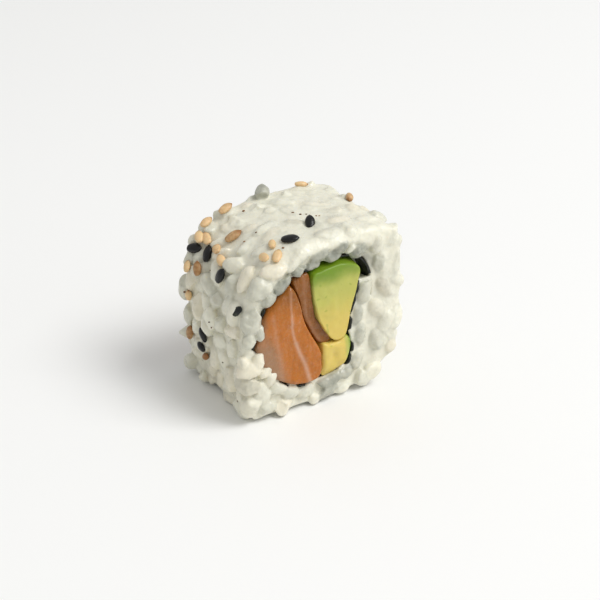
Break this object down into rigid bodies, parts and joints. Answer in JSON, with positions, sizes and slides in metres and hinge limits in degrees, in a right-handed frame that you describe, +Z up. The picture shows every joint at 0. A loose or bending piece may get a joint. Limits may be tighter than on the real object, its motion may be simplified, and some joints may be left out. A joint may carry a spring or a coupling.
{
  "type": "inside-out sushi roll piece",
  "caption": "Short rounded block of rice around a spiral of seaweed, with salmon and avocado strips running through from cut face to cut face.",
  "frame": {"origin": "middle of the underside, on the surface the piece rests on", "axes": "+Z up, +Y along the roll's axis from the front cut face to the back one, +X to the right as seen from the front"},
  "size_m": [0.037, 0.0266, 0.0362],
  "materials": {
    "rice": "cooked short-grain rice, moist and sticky with a soft sheen",
    "seaweed": "moist pressed seaweed sheet, nearly black",
    "salmon": "raw salmon flesh with pale fat lines, wet",
    "avocado": "ripe avocado flesh, green at its skin side and yellow inside, soft sheen"
  },
  "bodies": {
    "root": {"rice": "rice", "seaweed": "seaweed", "salmon_thick": "salmon", "salmon_thin": "salmon", "avocado_wedge": "avocado", "avocado_end": "avocado"}
  },
  "joints": []
}
